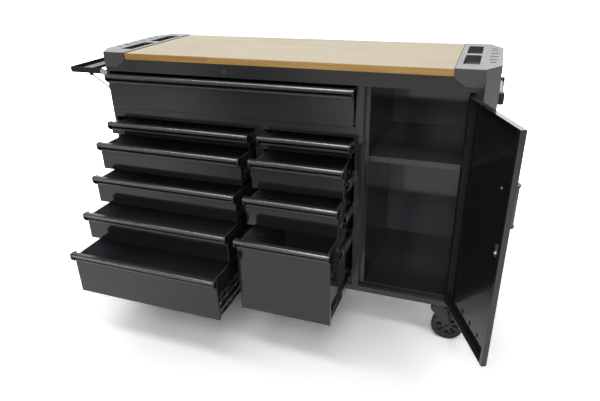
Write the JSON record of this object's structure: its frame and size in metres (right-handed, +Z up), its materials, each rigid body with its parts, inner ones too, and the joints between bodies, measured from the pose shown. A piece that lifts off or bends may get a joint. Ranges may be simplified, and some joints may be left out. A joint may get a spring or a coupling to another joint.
{
  "type": "rolling tool cabinet",
  "caption": "Rolling tool cabinet with full-extension drawers, a door cupboard with a shelf, a wood work top, a folding side tray and a push bar, on casters.",
  "frame": {"origin": "on the floor, under the middle of the case", "axes": "+X to the right along the cabinet, +Y from the drawer fronts to the back, +Z up; the drawers open towards -Y"},
  "size_m": [1.6347, 0.8486, 1.012],
  "materials": {
    "case_paint": "gloss powder coat",
    "drawer_paint": "gloss powder coat",
    "door_paint": "gloss powder coat",
    "shelf_paint": "gloss powder coat",
    "tray_paint": "satin powder coat",
    "wood_top": "clear satin lacquer",
    "cap_plastic": "fine texture",
    "chrome": "polished",
    "badge": "gloss",
    "slide_steel": "black zinc",
    "handle_bar": "satin",
    "handle_plastic": "fine texture",
    "zinc": "zinc plated",
    "stay_steel": "zinc plated",
    "fork_steel": "satin",
    "pull_black": "black anodised",
    "tyre": "matt"
  },
  "bodies": {
    "cabinet": {"back_panel": "case_paint", "badge_plate": "badge", "bottom_panel": "case_paint", "column_divider": "case_paint", "cupboard_partition": "case_paint", "cupboard_shelf": "shelf_paint", "door_jambs": "case_paint", "drawer_lock": "chrome", "end_cap_left": "cap_plastic", "end_cap_right": "cap_plastic", "front_rails": "case_paint", "outer_slide_members": "slide_steel", "push_handle_bar": "handle_bar", "push_handle_brackets": "handle_plastic", "rigid_caster_forks": "fork_steel", "side_panels": "case_paint", "swivel_caster_plates": "fork_steel", "tray_brackets": "zinc", "worktop": "wood_top"},
    "drawer_01": {"drawer_01_box": "drawer_paint", "drawer_01_pull": "pull_black"},
    "slide_01": {"drawer_01_slide_middle": "slide_steel"},
    "drawer_02": {"drawer_02_box": "drawer_paint", "drawer_02_pull": "pull_black"},
    "slide_02": {"drawer_02_slide_middle": "slide_steel"},
    "drawer_03": {"drawer_03_box": "drawer_paint", "drawer_03_pull": "pull_black"},
    "slide_03": {"drawer_03_slide_middle": "slide_steel"},
    "drawer_04": {"drawer_04_box": "drawer_paint", "drawer_04_pull": "pull_black"},
    "slide_04": {"drawer_04_slide_middle": "slide_steel"},
    "drawer_05": {"drawer_05_box": "drawer_paint", "drawer_05_pull": "pull_black"},
    "slide_05": {"drawer_05_slide_middle": "slide_steel"},
    "drawer_06": {"drawer_06_box": "drawer_paint", "drawer_06_pull": "pull_black"},
    "slide_06": {"drawer_06_slide_middle": "slide_steel"},
    "drawer_07": {"drawer_07_box": "drawer_paint", "drawer_07_pull": "pull_black"},
    "slide_07": {"drawer_07_slide_middle": "slide_steel"},
    "drawer_08": {"drawer_08_box": "drawer_paint", "drawer_08_pull": "pull_black"},
    "slide_08": {"drawer_08_slide_middle": "slide_steel"},
    "drawer_09": {"drawer_09_box": "drawer_paint", "drawer_09_pull": "pull_black"},
    "slide_09": {"drawer_09_slide_middle": "slide_steel"},
    "drawer_10": {"drawer_10_box": "drawer_paint", "drawer_10_pull": "pull_black"},
    "slide_10": {"drawer_10_slide_middle": "slide_steel"},
    "door": {"door_panel": "door_paint", "door_pull": "pull_black", "door_lock": "zinc"},
    "tray": {"side_tray": "tray_paint"},
    "stays": {"tray_stays": "stay_steel"},
    "fork_front": {"swivel_fork_front": "fork_steel"},
    "wheel_right_front": {"wheel_right_front": "tyre"},
    "wheel_left_front": {"wheel_left_front": "tyre"},
    "fork_rear": {"swivel_fork_rear": "fork_steel"},
    "wheel_right_rear": {"wheel_right_rear": "tyre"},
    "wheel_left_rear": {"wheel_left_rear": "tyre"}
  },
  "joints": [
    {"name": "drawer_01_travel", "type": "slide", "parent": "cabinet", "child": "drawer_01", "axis": [0, -1, 0], "range_m": [-0.01616, 0.37384]},
    {"name": "slide_01_travel", "type": "slide", "parent": "cabinet", "child": "slide_01", "axis": [0, -1, 0], "range_m": [-0.00908, 0.18792]},
    {"name": "drawer_02_travel", "type": "slide", "parent": "cabinet", "child": "drawer_02", "axis": [0, -1, 0], "range_m": [-0.04686, 0.34314]},
    {"name": "slide_02_travel", "type": "slide", "parent": "cabinet", "child": "slide_02", "axis": [0, -1, 0], "range_m": [-0.02443, 0.17257]},
    {"name": "drawer_03_travel", "type": "slide", "parent": "cabinet", "child": "drawer_03", "axis": [0, -1, 0], "range_m": [-0.12605, 0.26395]},
    {"name": "slide_03_travel", "type": "slide", "parent": "cabinet", "child": "slide_03", "axis": [0, -1, 0], "range_m": [-0.06402, 0.13298]},
    {"name": "drawer_04_travel", "type": "slide", "parent": "cabinet", "child": "drawer_04", "axis": [0, -1, 0], "range_m": [-0.18099, 0.20901]},
    {"name": "slide_04_travel", "type": "slide", "parent": "cabinet", "child": "slide_04", "axis": [0, -1, 0], "range_m": [-0.0915, 0.1055]},
    {"name": "drawer_05_travel", "type": "slide", "parent": "cabinet", "child": "drawer_05", "axis": [0, -1, 0], "range_m": [-0.263, 0.127]},
    {"name": "slide_05_travel", "type": "slide", "parent": "cabinet", "child": "slide_05", "axis": [0, -1, 0], "range_m": [-0.1325, 0.0645]},
    {"name": "drawer_06_travel", "type": "slide", "parent": "cabinet", "child": "drawer_06", "axis": [0, -1, 0], "range_m": [-0.3632, 0.0268]},
    {"name": "slide_06_travel", "type": "slide", "parent": "cabinet", "child": "slide_06", "axis": [0, -1, 0], "range_m": [-0.1826, 0.0144]},
    {"name": "drawer_07_travel", "type": "slide", "parent": "cabinet", "child": "drawer_07", "axis": [0, -1, 0], "range_m": [-0.04404, 0.34596]},
    {"name": "slide_07_travel", "type": "slide", "parent": "cabinet", "child": "slide_07", "axis": [0, -1, 0], "range_m": [-0.02302, 0.17398]},
    {"name": "drawer_08_travel", "type": "slide", "parent": "cabinet", "child": "drawer_08", "axis": [0, -1, 0], "range_m": [-0.12403, 0.26597]},
    {"name": "slide_08_travel", "type": "slide", "parent": "cabinet", "child": "slide_08", "axis": [0, -1, 0], "range_m": [-0.06301, 0.13399]},
    {"name": "drawer_09_travel", "type": "slide", "parent": "cabinet", "child": "drawer_09", "axis": [0, -1, 0], "range_m": [-0.18382, 0.20618]},
    {"name": "slide_09_travel", "type": "slide", "parent": "cabinet", "child": "slide_09", "axis": [0, -1, 0], "range_m": [-0.09291, 0.10409]},
    {"name": "drawer_10_travel", "type": "slide", "parent": "cabinet", "child": "drawer_10", "axis": [0, -1, 0], "range_m": [-0.27189, 0.11811]},
    {"name": "slide_10_travel", "type": "slide", "parent": "cabinet", "child": "slide_10", "axis": [0, -1, 0], "range_m": [-0.13695, 0.06005]},
    {"name": "door_hinge", "type": "hinge", "parent": "cabinet", "child": "door", "pos_m": [0.6478, -0.2335, 0.5635], "axis": [0, 0, 1], "range_deg": [-115, 60]},
    {"name": "tray_fold", "type": "hinge", "parent": "cabinet", "child": "tray", "pos_m": [-0.692, 0, 0.938], "axis": [0, -1, 0], "range_deg": [0, 90]},
    {"name": "stay_fold", "type": "hinge", "parent": "tray", "child": "stays", "pos_m": [-0.749, 0, 0.924], "axis": [0, -1, 0], "range_deg": [-147.12, 1]},
    {"name": "swivel_front", "type": "hinge", "parent": "cabinet", "child": "fork_front", "pos_m": [0.612, -0.189, 0.14], "axis": [0, 0, 1], "continuous": true},
    {"name": "wheel_right_front_roll", "type": "hinge", "parent": "fork_front", "child": "wheel_right_front", "pos_m": [0.65, -0.189, 0.058], "axis": [0, 1, 0], "continuous": true},
    {"name": "wheel_left_front_roll", "type": "hinge", "parent": "cabinet", "child": "wheel_left_front", "pos_m": [-0.612, -0.189, 0.058], "axis": [0, 1, 0], "continuous": true},
    {"name": "swivel_rear", "type": "hinge", "parent": "cabinet", "child": "fork_rear", "pos_m": [0.612, 0.189, 0.14], "axis": [0, 0, 1], "continuous": true},
    {"name": "wheel_right_rear_roll", "type": "hinge", "parent": "fork_rear", "child": "wheel_right_rear", "pos_m": [0.65, 0.189, 0.058], "axis": [0, 1, 0], "continuous": true},
    {"name": "wheel_left_rear_roll", "type": "hinge", "parent": "cabinet", "child": "wheel_left_rear", "pos_m": [-0.612, 0.189, 0.058], "axis": [0, 1, 0], "continuous": true}
  ],
  "couplings": [
    {"joint": "slide_01_travel", "follows": "drawer_01_travel", "ratio": 0.5},
    {"joint": "slide_02_travel", "follows": "drawer_02_travel", "ratio": 0.5},
    {"joint": "slide_03_travel", "follows": "drawer_03_travel", "ratio": 0.5},
    {"joint": "slide_04_travel", "follows": "drawer_04_travel", "ratio": 0.5},
    {"joint": "slide_05_travel", "follows": "drawer_05_travel", "ratio": 0.5},
    {"joint": "slide_06_travel", "follows": "drawer_06_travel", "ratio": 0.5},
    {"joint": "slide_07_travel", "follows": "drawer_07_travel", "ratio": 0.5},
    {"joint": "slide_08_travel", "follows": "drawer_08_travel", "ratio": 0.5},
    {"joint": "slide_09_travel", "follows": "drawer_09_travel", "ratio": 0.5},
    {"joint": "slide_10_travel", "follows": "drawer_10_travel", "ratio": 0.5},
    {"joint": "stay_fold", "follows": "tray_fold", "ratio": -1.6236}
  ]
}
